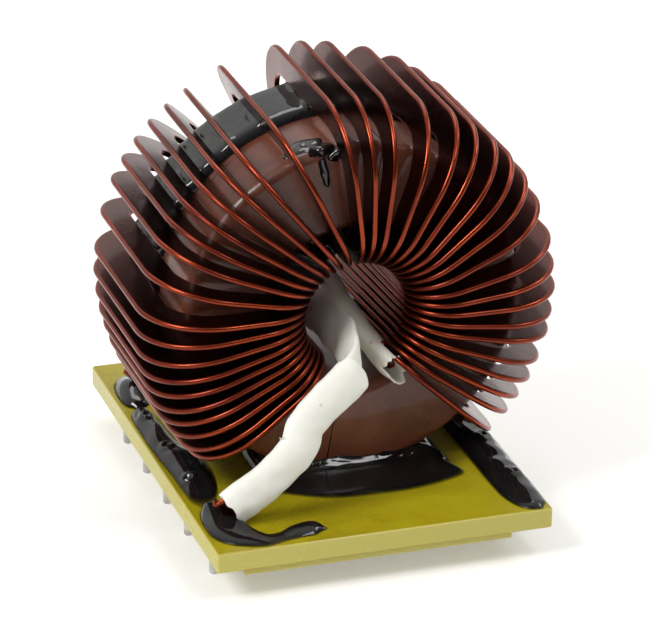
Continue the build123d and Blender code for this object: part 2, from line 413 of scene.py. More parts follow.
def _relief(tree: bpy.types.NodeTree) -> None:
    """Height of an uneven skin: broad noise plus a share of noise that is finer by a given ratio.

    Args:
        tree: The group's tree, still empty.
    """
    names = {"Scale": "Float", "Ratio": "Float", "Fine Share": "Float"}
    graph, given, out = _sockets(tree, names, {"Height": "Float"})
    place = graph.add("TexCoord").outputs["Object"]
    broad = graph.add("TexNoise", None, Vector=place, Scale=given.outputs["Scale"], Detail=2.0)
    fine_scale = graph.sums("MULTIPLY", given.outputs["Scale"], given.outputs["Ratio"])
    fine = graph.add("TexNoise", None, Vector=place, Scale=fine_scale, Detail=3.0)
    added = graph.sums("MULTIPLY", fine.outputs["Fac"], given.outputs["Fine Share"])
    graph.feed(out.inputs["Height"], graph.sums("ADD", broad.outputs["Fac"], added))


def _specks(tree: bpy.types.NodeTree) -> None:
    """Small round spots: 1 inside a given reach of scattered points, fading out over the outer half of it.

    Args:
        tree: The group's tree, still empty.
    """
    names = {"Scale": "Float", "Reach": "Float"}
    graph, given, out = _sockets(tree, names, {"Mask": "Float"})
    place = graph.add("TexCoord").outputs["Object"]
    cells = graph.add("TexVoronoi", None, Vector=place, Scale=given.outputs["Scale"], Randomness=1.0)
    share = graph.sums("DIVIDE", cells.outputs["Distance"], given.outputs["Reach"])
    graph.feed(out.inputs["Mask"], graph.ranged(share, 1.0, 0.0, low=0.5, high=1.0))


# Finishes

Colour = tuple[float, float, float, float]


def tone(red: float, green: float, blue: float) -> Colour:
    """Opaque colour from three linear shares of light."""
    return (red, green, blue, 1.0)


@dataclass(frozen=True)
class Skin:
    """Uneven skin of a finish: broad noise, finer noise on it, and how deep and strong both show.

    The scale counts cells of noise in a metre, and the depth is in millimetres.
    """

    scale: float
    ratio: float
    fine_share: float
    depth: float
    strength: float


@dataclass(frozen=True)
class Finish:
    """What a surface looks like; each kind below fills in its own shader.

    Scales count cells of noise in a metre. A pair of roughnesses runs from 0 to 1 of a mottle's mask.
    """

    slot: str

    def material(self) -> bpy.types.Material:
        """Make the Blender material of this finish at its first use.

        Returns:
            The material.
        """
        name = f"{self.slot}_finish"
        found = bpy.data.materials.get(name)
        if found is None:
            found = bpy.data.materials.new(name)
            found.use_nodes = True
            graph = Graph(found.node_tree)
            shader = graph.add("BsdfPrincipled")
            graph.add("OutputMaterial", None, Surface=shader.outputs["BSDF"])
            self.dress(graph, shader)
        return found

    def dress(self, graph: Graph, shader: bpy.types.Node) -> None:
        """Feed the shader; a kind of finish gives its own."""
        raise NotImplementedError

    def plain(self, shader: bpy.types.Node, **values: float) -> None:
        """Set constant inputs of the shader by name, with underscores for spaces."""
        for name, value in values.items():
            shader.inputs[name.replace("_", " ")].default_value = value

    def bump(self, graph: Graph, shader: bpy.types.Node, skin: Skin, added: object = None) -> None:
        """Put an uneven skin on the shader.

        Args:
            graph: Nodes of the material.
            shader: Its Principled shader.
            skin: Sizes of the skin.
            added: Socket with more height, or None.
        """
        relief = Effect.RELIEF.place(graph, Scale=skin.scale, Ratio=skin.ratio, Fine_Share=skin.fine_share)
        height = relief.outputs["Height"]
        if added is not None:
            height = graph.sums("ADD", height, added)
        node = graph.add("Bump", None, Height=height, Distance=skin.depth * MM, Strength=skin.strength)
        graph.feed(shader.inputs["Normal"], node.outputs["Normal"])


@dataclass(frozen=True)
class EnamelledCopper(Finish):
    """Copper strip under clear red-brown enamel: tinted metal with a glossy coat, and painted shade that
    darkens the flats.
    """

    slot: str = "copper_enamel"
    dark: Colour = tone(0.11, 0.012, 0.006)
    light: Colour = tone(0.29, 0.044, 0.013)
    # Painted shade: the flats, which lie between the turns, are darkened towards this colour and keep only
    # the flat share of the cloudy tint.
    flat: Colour = tone(0.050, 0.008, 0.006)
    flat_share: float = 0.25
    cloud_scale: float = 90.0
    rough: tuple[float, float] = (0.34, 0.25)
    coat: float = 0.18
    coat_rough: float = 0.08
    coat_index: float = 1.5
    skin: Skin = Skin(260.0, 4.0, 0.3, 0.05, 0.25)

    def dress(self, graph: Graph, shader: bpy.types.Node) -> None:
        """Cloudy tint on metal, mostly on the strip's edges, since painted shade darkens the flats; a fine
        ripple in the enamel.

        Args:
            graph: Nodes of the material.
            shader: Its Principled shader.
        """
        cloud = Effect.MOTTLE.place(graph, Scale=self.cloud_scale, Dark=self.dark, Light=self.light)
        # Painted shade: the film value is 1 on the strip's round edges and 0 on its flats, where the colour
        # falls mostly to the dark flat tone.
        edge = graph.add("Attribute", {"attribute_name": "film"}).outputs["Fac"]
        share = graph.ranged(edge, self.flat_share, 1.0)
        graph.feed(shader.inputs["Base Color"], graph.blend(share, self.flat, cloud.outputs["Color"]))
        graph.feed(shader.inputs["Roughness"], graph.ranged(cloud.outputs["Mask"], *self.rough))
        self.plain(shader, Metallic=1.0, Coat_Weight=self.coat)
        self.plain(shader, Coat_Roughness=self.coat_rough, Coat_IOR=self.coat_index)
        self.bump(graph, shader, self.skin)


@dataclass(frozen=True)
class CoreCoating(Finish):
    """Brown powder coat of the core: satin, grainy, with pale scuffs."""

    slot: str = "core_coating"
    dark: Colour = tone(0.080, 0.017, 0.008)
    light: Colour = tone(0.175, 0.046, 0.020)
    scuff: Colour = tone(0.22, 0.12, 0.09)
    scuff_share: float = 0.25
    cloud_scale: float = 110.0
    speck_scale: float = 900.0
    speck_reach: float = 0.32
    patch_scale: float = 60.0
    rough: tuple[float, float] = (0.30, 0.48)
    shine: float = 0.4
    coat: float = 0.3
    coat_rough: float = 0.08
    skin: Skin = Skin(330.0, 5.0, 0.5, 0.12, 0.5)

    def dress(self, graph: Graph, shader: bpy.types.Node) -> None:
        """Mottled brown with specks, orange-peel relief and a thin gloss.

        Args:
            graph: Nodes of the material.
            shader: Its Principled shader.
        """
        cloud = Effect.MOTTLE.place(graph, Scale=self.cloud_scale, Dark=self.dark, Light=self.light)
        specks = Effect.SPECKS.place(graph, Scale=self.speck_scale, Reach=self.speck_reach)
        patches = Effect.MOTTLE.place(graph, Scale=self.patch_scale, Dark=tone(0, 0, 0), Light=tone(1, 1, 1))
        share = graph.sums("MULTIPLY", specks.outputs["Mask"], patches.outputs["Mask"])
        share = graph.sums("MULTIPLY", share, self.scuff_share)
        graph.feed(shader.inputs["Base Color"], graph.blend(share, cloud.outputs["Color"], self.scuff))
        graph.feed(shader.inputs["Roughness"], graph.ranged(patches.outputs["Mask"], *self.rough))
        self.plain(shader, Specular_IOR_Level=self.shine)
        self.plain(shader, Coat_Weight=self.coat, Coat_Roughness=self.coat_rough)
        self.bump(graph, shader, self.skin)


@dataclass(frozen=True)
class BlackEpoxy(Finish):
    """Glossy black epoxy, clear at its thin edges, with small bubbles."""

    slot: str = "black_epoxy"
    dark: Colour = tone(0.004, 0.004, 0.005)
    light: Colour = tone(0.012, 0.012, 0.012)
    cloud_scale: float = 140.0
    rough: tuple[float, float] = (0.03, 0.10)
    index: float = 1.55
    bubble_scale: float = 420.0
    bubble_reach: float = 0.22
    skin: Skin = Skin(240.0, 3.0, 0.2, 0.06, 0.2)

    def dress(self, graph: Graph, shader: bpy.types.Node) -> None:
        """Near-black gloss, with relief from bubbles and with alpha from the film's thickness.

        Args:
            graph: Nodes of the material.
            shader: Its Principled shader.
        """
        cloud = Effect.MOTTLE.place(graph, Scale=self.cloud_scale, Dark=self.dark, Light=self.light)
        graph.feed(shader.inputs["Base Color"], cloud.outputs["Color"])
        graph.feed(shader.inputs["Roughness"], graph.ranged(cloud.outputs["Mask"], *self.rough))
        self.plain(shader, IOR=self.index)
        bubbles = Effect.SPECKS.place(graph, Scale=self.bubble_scale, Reach=self.bubble_reach)
        self.bump(graph, shader, self.skin, bubbles.outputs["Mask"])
        film = graph.add("Attribute", {"attribute_name": "film"})
        graph.feed(shader.inputs["Alpha"], film.outputs["Fac"])


@dataclass(frozen=True)
class Sleeving(Finish):
    """Creamy white sleeving, matt, with faint stains."""

    slot: str = "sleeving"
    dark: Colour = tone(0.86, 0.83, 0.75)
    light: Colour = tone(0.94, 0.92, 0.86)
    stain: Colour = tone(0.30, 0.25, 0.19)
    stain_share: float = 0.6
    cloud_scale: float = 170.0
    speck_scale: float = 210.0
    speck_reach: float = 0.1
    rough: tuple[float, float] = (0.62, 0.48)
    inner_share: float = 0.2
    inner_depth: float = 0.6
    skin: Skin = Skin(300.0, 4.0, 0.4, 0.08, 0.3)

    def dress(self, graph: Graph, shader: bpy.types.Node) -> None:
        """Cream with few dark specks, and some light spread under the skin.

        Args:
            graph: Nodes of the material.
            shader: Its Principled shader.
        """
        cloud = Effect.MOTTLE.place(graph, Scale=self.cloud_scale, Dark=self.dark, Light=self.light)
        specks = Effect.SPECKS.place(graph, Scale=self.speck_scale, Reach=self.speck_reach)
        share = graph.sums("MULTIPLY", specks.outputs["Mask"], self.stain_share)
        graph.feed(shader.inputs["Base Color"], graph.blend(share, cloud.outputs["Color"], self.stain))
        graph.feed(shader.inputs["Roughness"], graph.ranged(cloud.outputs["Mask"], *self.rough))
        self.plain(shader, Subsurface_Weight=self.inner_share, Subsurface_Scale=self.inner_depth * MM)
        self.bump(graph, shader, self.skin)


@dataclass(frozen=True)
class Laminate(Finish):
    """Yellow glass laminate: a faint weave under clear resin, paler where it is sawn.

    The pitch of the weave is in millimetres. At a scale of 1 the wave texture draws about 3.2 bands in
    a unit of length.
    """

    dark: Colour = tone(0.28, 0.225, 0.004)
    light: Colour = tone(0.42, 0.345, 0.008)
    thread: Colour = tone(0.46, 0.40, 0.03)
    sawn: Colour = tone(0.55, 0.49, 0.12)
    cloud_scale: float = 70.0
    weave_pitch: float = 1.1
    bands_at_scale_one: float = 3.2
    weave_share: float = 0.15
    rough: tuple[float, float] = (0.22, 0.36)
    shine: float = 0.35
    inner_share: float = 0.15
    inner_depth: float = 1.5
    skin: Skin = Skin(180.0, 5.0, 0.3, 0.03, 0.25)

    def dress(self, graph: Graph, shader: bpy.types.Node) -> None:
        """Cloudy yellow crossed by two sets of threads along the board's sides, or the sawn tone.

        Args:
            graph: Nodes of the material.
            shader: Its Principled shader.
        """
        cloud = Effect.MOTTLE.place(graph, Scale=self.cloud_scale, Dark=self.dark, Light=self.light)
        place = graph.add("TexCoord").outputs["Object"]
        scale = 1 / (self.bands_at_scale_one * self.weave_pitch * MM)
        threads = []
        for way in ("X", "Y"):
            settings = {"wave_type": "BANDS", "bands_direction": way, "wave_profile": "SIN"}
            wave = graph.add("TexWave", settings, Vector=place, Scale=scale, Distortion=1.5, Detail=2.0)
            threads.append(wave.outputs["Fac"])
        weave = graph.sums("MULTIPLY", *threads)
        share = graph.sums("MULTIPLY", weave, self.weave_share)
        woven = graph.blend(share, cloud.outputs["Color"], self.thread)
        faced = graph.add("Attribute", {"attribute_name": "film"}).outputs["Fac"]
        graph.feed(shader.inputs["Base Color"], graph.blend(faced, self.sawn, woven))
        graph.feed(shader.inputs["Roughness"], graph.ranged(cloud.outputs["Mask"], *self.rough))
        self.plain(shader, Specular_IOR_Level=self.shine)
        self.plain(shader, Subsurface_Weight=self.inner_share, Subsurface_Scale=self.inner_depth * MM)
        self.bump(graph, shader, self.skin, weave)


@dataclass(frozen=True)
class TinnedMetal(Finish):
    """Tinned pin: bright grey metal, dulled in patches."""

    slot: str = "tinned_pins"
    dark: Colour = tone(0.42, 0.41, 0.39)
    light: Colour = tone(0.68, 0.67, 0.64)
    cloud_scale: float = 500.0
    rough: tuple[float, float] = (0.45, 0.28)
    metal_share: float = 0.9
    skin: Skin = Skin(700.0, 4.0, 0.4, 0.04, 0.4)

    def dress(self, graph: Graph, shader: bpy.types.Node) -> None:
        """Patchy grey on metal.

        Args:
            graph: Nodes of the material.
            shader: Its Principled shader.
        """
        cloud = Effect.MOTTLE.place(graph, Scale=self.cloud_scale, Dark=self.dark, Light=self.light)
        graph.feed(shader.inputs["Base Color"], cloud.outputs["Color"])
        graph.feed(shader.inputs["Roughness"], graph.ranged(cloud.outputs["Mask"], *self.rough))
        self.plain(shader, Metallic=self.metal_share)
        self.bump(graph, shader, self.skin)


# The coil's sizes, which the winding, the core, the band and the sleeves share

@dataclass(frozen=True)
class Coil:
    """Place and driving sizes of the coil, in millimetres; angles in degrees from +X towards +Z."""

    shift: float = -1.0
    core_radius: float = 26.4
    core_height: float = 26.0
    strip_width: float = 4.8
    strip_thickness: float = 0.85
    front_corner: float = 11.2
    rear_corner: float = 9.2
    hole_corner: float = 7.4
    hole_radius: float = 7.8
    bore_gap: float = 0.2
    face_gap: float = 3.0
    rim_gap: float = 1.7
    winding_shift: float = 0.9
    board_top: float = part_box("base_board")[1][2] / MM
    height: float = (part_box("core_left_half")[0][2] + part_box("core_right_half")[1][2]) / 2 / MM

    @property
    def centre(self) -> Array:
        """Middle of the coil."""
        return np.array([0.0, self.shift, self.height])

    @property
    def half_depth(self) -> float:
        """From the winding's middle to its front."""
        return self.core_height / 2 + self.face_gap + self.strip_width

    @property
    def rim_radius(self) -> float:
        """From the axis to the outer edge of the turns."""
        return self.core_radius + self.rim_gap + self.strip_width

    @property
    def reach(self) -> float:
        """From the foot of a turn to its tip."""
        return self.rim_radius - self.hole_radius

    def at(self, radius: Array, degrees: Array, along: Array) -> Array:
        """Places at a radius and an angle about the axis, and a way along it from the middle."""
        along = np.asarray(along, float)[..., None] * np.array([0.0, 1.0, 0.0])
        return self.centre + np.asarray(radius, float)[..., None] * radial(degrees) + along


@dataclass(frozen=True)
class Route:
    """Way of one strip end from the hole to its pin.

    A row in the hole holds an angle about the axis, a share of the radius that a sleeve can take, a share
    of the coil's half depth, and the angle of the strip's width. A row of the drop holds shares of the way
    across, of the sleeve's width outwards and of the way down, and the same angle.
    """

    hole_shares: tuple[tuple[float, float, float, float], ...]
    drop_shares: tuple[tuple[float, float, float, float], ...]
    pin_x: float
    pin_y: float
    sleeve_width: float = 6.1
    pin_side: float = 1.2

    def rows(self, coil: Coil, mouth_shares: tuple[tuple[float, ...], ...] = ()) -> tuple[Array, Array]:
        """Places along the route and the strip's width there.

        Args:
            coil: The coil that the route leaves.
            mouth_shares: Rows in the hole that come before the route's own.

        Returns:
            Places, and unit directions of the width.
        """
        hole = np.array(mouth_shares + self.hole_shares)
        drop = np.array(self.drop_shares)
        orbit = coil.hole_radius - self.sleeve_width / 2
        inside = coil.at(hole[:, 1] * orbit, hole[:, 0], hole[:, 2] * coil.half_depth)
        fold = inside[-1]
        end = np.array([self.pin_x + self.pin_side, self.pin_y, coil.board_top + coil.strip_width / 2])
        outside = fold + (end - fold) * drop[:, [0, 1, 2]]
        outside[:, 1] = fold[1] - drop[:, 1] * self.sleeve_width
        angles = np.concatenate([hole[:, 3], drop[:, 3], drop[-1:, 3]])
        return np.concatenate([inside, outside, end[None]]), radial(angles)


@dataclass(frozen=True)
class Winding:
    """One flat strip bent on edge into turns, with both ends led down to the board."""

    coil: Coil
    front_route: Route
    rear_route: Route
    first_rim: float = -45.1
    last_rim: float = 222.0
    first_leg: float = -53.5
    last_leg: float = 231.0
    step_shares: tuple[float, ...] = (
        0.95, 0.75, 0.8, 0.85, 1.1, 0.8, 0.95, 0.9, 1.05, 1.45, 1.15, 1.0, 0.95, 1.05, 0.95, 1.3, 1.55,
        1.0, 1.0, 2.25, 1.6, 0.95, 0.85, 0.85, 0.85, 0.85, 1.3, 1.5, 0.85, 0.85, 0.75, 0.65, 0.7, 0.6,
        0.7, 0.75, 0.55,
    )
    short_share: float = 0.008
    flat_share: float = 0.9
    per_corner: int = 14
    per_run: int = 8
    per_span: int = 7
    per_edge: int = 7
    seed: int = 4

    def angles(self) -> tuple[Array, Array]:
        """Angles of the turns: by uneven steps at the rim, by even ones at the hole.

        Returns:
            Angles at the rim, and angles at the hole.
        """
        walked = np.concatenate([[0.0], np.cumsum(self.step_shares)])
        rim = self.first_rim + (self.last_rim - self.first_rim) * walked / walked[-1]
        return rim, np.linspace(self.first_leg, self.last_leg, len(rim))

    def core_angles(self) -> Array:
        """Angles at which the turns cross the core's rim, since a turn leans from its foot to its tip.

        Returns:
            One angle for each turn.
        """
        rim, leg = self.angles()
        coil = self.coil
        inward = (coil.rim_radius - coil.core_radius) / coil.reach * coil.hole_radius / coil.core_radius
        return rim - (rim - leg) * inward

    def loop(self) -> tuple[Array, Array]:
        """Middle line of one turn in its own plane: a rectangle with round corners, from the inner front.

        Returns:
            Places (outwards, along the axis), and the angle of the outward side at each.
        """
        coil = self.coil
        corners = np.array([coil.hole_corner, coil.front_corner, coil.rear_corner, coil.hole_corner])
        outwards = np.where([False, True, True, False], coil.reach - corners, corners)
        along = np.array([-1, -1, 1, 1]) * (coil.half_depth - corners)
        centres = np.stack([outwards, along], axis=-1)
        bends = (corners - coil.strip_width / 2)[:, None, None]
        turns = np.pi + TURN / 4 * (np.arange(4)[:, None] + np.linspace(0, 1, self.per_corner)[None])
        arcs = centres[:, None] + bends * np.stack([np.cos(turns), np.sin(turns)], axis=-1)
        places, sides = [], []
        for corner in range(4):
            after = arcs[(corner + 1) % 4, 0]
            share = np.linspace(0, 1, self.per_run + 2)[1:-1, None]
            places += [arcs[corner], arcs[corner, -1] + share * (after - arcs[corner, -1])]
            sides += [turns[corner], np.full(self.per_run, turns[corner, -1])]
        return np.concatenate(places), np.concatenate(sides)

    def path(self) -> tuple[Array, Array]:
        """Whole middle line of the strip: rear end, turns joined by slanting legs, front end.

        Returns:
            Places, and the direction of the strip's width at each.
        """
        coil = self.coil
        rim, leg = self.angles()
        draw = np.random.default_rng(self.seed)
        middle = np.full(len(rim), coil.winding_shift)
        foot = coil.at(np.full(len(leg), coil.hole_radius), leg, middle)
        tip = coil.at(np.full(len(rim), coil.rim_radius), rim, middle)
        outward = unit(tip - foot)
        flat, side = self.loop()
        step = np.arange(len(flat))
        slant = np.clip((step - (len(flat) - self.per_run - 1)) / (self.per_run + 1), 0, 1)[None, :, None]
        after = np.minimum(np.arange(len(rim)) + 1, len(rim) - 1)
        base = foot[:, None] * (1 - slant) + foot[after][:, None] * slant
        ahead = unit(outward[:, None] * (1 - slant) + outward[after][:, None] * slant)
        short = 1 - draw.uniform(0.0, self.short_share, len(rim))[:, None, None]
        along = np.array([0.0, 1.0, 0.0])
        places = base + ahead * (flat[:, 0][None, :, None] * short) + along * flat[:, 1][None, :, None]
        width = ahead * np.cos(side)[None, :, None] + along * np.sin(side)[None, :, None]
        places = places.reshape(-1, 3)[:-self.per_run]
        width = width.reshape(-1, 3)[:-self.per_run]
        front, front_width = self.lead(self.front_route, places[-1], width[-1])
        rear, rear_width = self.lead(self.rear_route, places[0], width[0])
        whole = np.concatenate([rear[:0:-1], places, front[1:]])
        return whole, np.concatenate([rear_width[:0:-1], width, front_width[1:]])

    def lead(self, route: Route, start: Array, width: Array) -> tuple[Array, Array]:
        """Strip end as a smooth line from the winding through its route's places.

        Args:
            route: Way of this end to its pin.
            start: Place where the winding ends.
            width: Direction of the strip's width there.

        Returns:
            Places, and the direction of the strip's width at each.
        """
        places, widths = route.rows(self.coil)
        line = smooth_line(np.concatenate([start[None], places]), self.per_span)
        return line, smooth_line(np.concatenate([width[None], -widths]), self.per_span)

    def build(self, finish: Finish) -> None:
        """Carry the strip's section, two flats between round edges, along the whole line.

        Args:
            finish: What its surface looks like.
        """
        path, width = self.path()
        half = self.coil.strip_thickness / 2
        edge = np.linspace(-TURN / 4, TURN / 4, self.per_edge)
        shift = self.coil.strip_width / 2 - half
        right = np.stack([shift + half * np.cos(edge), half * np.sin(edge)], axis=-1)
        inset = np.array([[shift * self.flat_share, half], [-shift * self.flat_share, half]])
        section = np.concatenate([right, inset, -right, -inset])
        # Value kept for the finish: 1 on the round edges and 0 on the flats, where the copper finish paints
        # shade.
        edge_unshaded_mask = np.tile(np.repeat([1.0, 0.0], [len(right), len(inset)]), 2)
        surface = Surface()
        surface.add(carried(path, width, section), ends=True, values=np.ones((len(path), 1)) * edge_unshaded_mask)
        surface.piece("strip_winding", finish, ("winding",))


@dataclass(frozen=True)
class Sleeve:
    """Soft oval sleeve over one strip end, crumpled, with an uneven mouth at each end."""

    name: str
    node: str
    coil: Coil
    route: Route
    depth: float = 3.3
    wall: float = 0.35
    crumple: float = 0.12
    crumple_wave: float = 5.0
    fine_share: float = 0.4
    fine_wave: float = 2.4
    ragged: float = 0.3
    ragged_wave: float = 2.2
    first_mouth_share: float = 0.02
    last_mouth_share: float = 0.01
    mouth_shares: tuple[tuple[float, ...], ...] = ()
    flat_share: float = 0.0
    fold_share: float = 0.46
    fold_reach_share: float = 0.02
    seed: int = 1
    per_span: int = 20
    sides: int = 48

    def build(self, finish: Finish) -> None:
        """Carry an oval along the route, push it in and out by two sizes of ripple, and give it a wall.

        The oval is flatter before the fold, and each mouth is pulled along the path by a third ripple.

        Args:
            finish: What its surface looks like.
        """
        places, widths = self.route.rows(self.coil, self.mouth_shares)
        path = smooth_line(places[:-1], self.per_span)
        width = smooth_line(widths[:-1], self.per_span)
        walked = np.linspace(0, 1, len(path))
        pressed = 1 - self.flat_share * (1 - ease((walked - self.fold_share) / self.fold_reach_share))
        ring = oval(self.route.sleeve_width, self.depth, self.sides)
        profile = ring[None] * np.stack([np.ones_like(pressed), pressed], axis=-1)[:, None]
        grid = carried(path, width, profile)
        outward = unit(grid - path[:, None])
        fine = self.fine_share * ripple(grid, self.fine_wave, self.seed + 1)
        pushed = self.crumple * (ripple(grid, self.crumple_wave, self.seed) + fine)
        grid = grid + outward * pushed[..., None]
        ahead = unit(np.gradient(path, axis=0))[:, None]
        fade = np.exp(-walked / self.first_mouth_share) + np.exp((walked - 1) / self.last_mouth_share)
        mouth = self.ragged * fade[:, None] * ripple(grid, self.ragged_wave, self.seed + 2)
        grid = grid + ahead * mouth[..., None]
        surface = Surface()
        surface.add(grid)
        made = surface.piece(self.name, finish, (self.node,))
        wall = made.modifiers.new("wall", "SOLIDIFY")
        wall.thickness = self.wall * MM
        wall.offset = -1.0


@dataclass(frozen=True)
class Core:
    """Ring core in two coated halves, glued at a leaning seam."""

    coil: Coil
    seam: float = 261.0
    seam_gap: float = 0.2
    outer_edge: float = 1.7
    wall_step: int = 90
    per_corner: int = 8
    skin: float = 0.05
    skin_wave: float = 5.0
    crease: float = 60.0
    seed: int = 11

    def build(self, finish: Finish) -> None:
        """Turn a round-cornered section through half a circle, once for each half, and dent it by ripple.

        Args:
            finish: What its surface looks like.
        """
        coil = self.coil
        inner = coil.hole_radius + coil.strip_width + coil.bore_gap
        section = rounded_box(coil.core_radius - inner, coil.core_height, self.outer_edge, self.per_corner)
        section[:, 0] += (coil.core_radius + inner) / 2
        gap = np.degrees(self.seam_gap / 2 / coil.core_radius)
        for side, start in (("left", self.seam - 180), ("right", self.seam)):
            turns = np.linspace(start + gap, start + 180 - gap, self.wall_step)
            grid = coil.at(*np.broadcast_arrays(section[None, :, 0], turns[:, None], section[None, :, 1]))
            middle = coil.at(np.full(len(turns), section[:, 0].mean()), turns, np.zeros(len(turns)))
            outward = unit(grid - middle[:, None])
            dent = self.skin * (1 + ripple(grid, self.skin_wave, self.seed)) / 2
            surface = Surface()
            surface.add(grid - outward * dent[..., None], ends=True)
            surface.piece(f"core_{side}", finish, (f"core_{side}_half",), crease=self.crease)


@dataclass(frozen=True)
class RimBand:
    """Black band poured round the rear half of the core's rim, drawn up against each turn.

    It is almost smooth up to an angle, and rough beyond it.
    """

    coil: Coil
    rim_angles: Array
    start: float = -55.0
    sweep: float = 290.0
    front: float = -0.5
    rear: float = 11.4
    thickness: float = 1.5
    sunk: float = 0.3
    top_power: float = 9.0
    edge_power: float = 0.4
    climb: float = 0.4
    climb_reach: float = 0.7
    climb_share: float = 0.7
    climb_wave: float = 4.0
    wander: float = 0.35
    wander_wave: float = 6.0
    lump: float = 0.12
    lump_wave: float = 2.5
    smooth_share: float = 0.12
    rough_from: float = 145.0
    rough_over: float = 25.0
    wall_step: int = 720
    per_side: int = 26
    crease: float = 70.0
    seed: int = 31

    def build(self, finish: Finish) -> None:
        """Turn a section with a round-edged top, raised by a bell curve at each turn.

        With s from -1 to 1 across the band, the top is one minus the 9th power of the size of s, all to
        the power of 0.4.

        Args:
            finish: What its surface looks like.
        """
        coil = self.coil
        turns = np.linspace(self.start, self.start + self.sweep, self.wall_step)
        share = np.linspace(0, 1, self.per_side)
        edge = (1 - np.abs(2 * share - 1) ** self.top_power) ** self.edge_power
        distance = np.radians(np.abs(turns[:, None] - self.rim_angles[None])).min(1) * coil.core_radius
        along = self.front + (self.rear - self.front) * share[None] + np.zeros((len(turns), 1))
        place = coil.at(*np.broadcast_arrays(coil.core_radius, turns[:, None], along))
        broken = ease((turns - self.rough_from) / self.rough_over)[:, None]
        rough = self.smooth_share + (1 - self.smooth_share) * broken
        strayed = self.wander * ripple(place, self.wander_wave, self.seed) * rough
        along = along + strayed * (1 - 2 * share[None])
        uneven = self.climb_share + (1 - self.climb_share) * ripple(place, self.climb_wave, self.seed + 2)
        lift = self.climb * hump(distance, self.climb_reach)[:, None] * uneven
        lumps = self.lump * rough * ripple(place, self.lump_wave, self.seed + 1)
        top = edge[None] * (self.thickness + lift + lumps)
        upper = coil.at(*np.broadcast_arrays(coil.core_radius + top, turns[:, None], along))
        lower = coil.at(*np.broadcast_arrays(coil.core_radius - self.sunk, turns[:, None], along))
        surface = Surface()
        surface.add(np.concatenate([upper, lower[:, ::-1]], axis=1)[:, ::-1], ends=True)
        surface.piece("rim_band_pour", finish, ("rim_band",), crease=self.crease)


@dataclass(frozen=True)
class Slab:
    """Board with sawn sides and slightly worn edges."""

    name: str
    node: str
    edge: float = 0.18
    per_corner: int = 4
    crease: float = 25.0

    def build(self, finish: Finish) -> None:
        """Stack rounded rectangles: middle of the underside, edges, middle of the top.

        The value kept for the finish is 1 on both faces and 0 on the sawn sides.

        Args:
            finish: What its surface looks like.
        """
        low, high = (np.array(corner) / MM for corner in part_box(self.node))
        size, centre = high - low, (low + high) / 2
        insets = np.array([size.min(), self.edge, 0.0, 0.0, self.edge, size.min()])
        levels = np.array([low[2], low[2], low[2] + self.edge, high[2] - self.edge, high[2], high[2]])
        faced = np.array([1.0, 1.0, 0.0, 0.0, 1.0, 1.0])
        rings = []
        for inset, level in zip(insets, levels):
            ring = rounded_box(size[0] - 2 * inset, size[1] - 2 * inset, 2 * self.edge, self.per_corner)
            rings.append(raised(ring + centre[:2], level))
        surface = Surface()
        surface.add(np.array(rings), ends=True, values=faced[:, None] * np.ones(len(rings[0])))
        surface.piece(self.name, finish, (self.node,), crease=self.crease)


@dataclass(frozen=True)
class PinRow:
    """Row of round pins with chamfered tips."""

    name: str
    node: str
    x: float
    diameter: float = 1.2
    tip: float = 0.2
    tip_share: float = 0.7
    top: float = 9.3
    sides: int = 24
    crease: float = 40.0

    def build(self, finish: Finish) -> None:
        """Stack circles from the tip up, once for each pin.

        Args:
            finish: What its surface looks like.
        """
        levels = np.array([0.0, self.tip, self.top - self.tip, self.top])
        shares = np.array([self.tip_share, 1.0, 1.0, self.tip_share])
        circle = oval(self.diameter, self.diameter, self.sides)
        surface = Surface()
        for y in PIN_PLACES:
            flat = circle[None] * shares[:, None, None] + np.array([self.x, y])
            surface.add(raised(flat, levels[:, None]), ends=True)
        surface.piece(self.name, finish, (self.node,), crease=self.crease)


@dataclass(frozen=True)
class EpoxyBead:
    """Bead of epoxy on the board along a line, with a ring and a dip where it covers a pin.

    A row of the spine holds x, y, half the width and the height. Both shrink to almost nothing at the ends.
    """

    name: str
    node: str
    floor: float
    spine: tuple[tuple[float, float, float, float], ...]
    pins: tuple[tuple[float, float], ...] = ()
    dome_power: float = 2.6
    swell: float = 0.12
    swell_wave: float = 5.0
    ring_radius: float = 0.9
    ring_width: float = 0.45
    ring_height: float = 0.55
    dip_width: float = 0.5
    dip_depth: float = 0.25
    clear_film: float = 0.5
    per_span: int = 14
    per_side: int = 25
    seed: int = 50

    def build(self, finish: Finish) -> None:
        """Carry a dome, one minus the 2.6th power of the way out, along the spine, uneven by ripple.

        Args:
            finish: What its surface looks like.
        """
        line = smooth_line(np.array(self.spine), self.per_span)
        ahead = unit(np.gradient(line[:, :2], axis=0))
        across = np.stack([ahead[:, 1], -ahead[:, 0]], axis=-1)
        share = np.linspace(-1, 1, self.per_side)
        flat = line[:, None, :2] + across[:, None] * (share[None, :, None] * line[:, None, 2:3])
        dome = 1 - np.abs(share[None]) ** self.dome_power
        height = line[:, 3:4] * dome
        height = height * (1 + self.swell * ripple(raised(flat, 0.0), self.swell_wave, self.seed))
        for x, y in self.pins:
            away = np.hypot(flat[..., 0] - x, flat[..., 1] - y)
            ring = self.ring_height * hump(away - self.ring_radius, self.ring_width)
            height = height + dome * (ring - self.dip_depth * hump(away, self.dip_width))
        film = np.clip(height / self.clear_film, 0.0, 1.0)
        lower = raised(flat[:, ::-1], self.floor)
        grid = np.concatenate([raised(flat, self.floor + height), lower[:, 1:-1]], axis=1)
        values = np.concatenate([film, film[:, ::-1][:, 1:-1]], axis=1)
        surface = Surface()
        surface.add(grid[:, ::-1], ends=True, values=values[:, ::-1])
        surface.piece(self.name, finish, (self.node,))


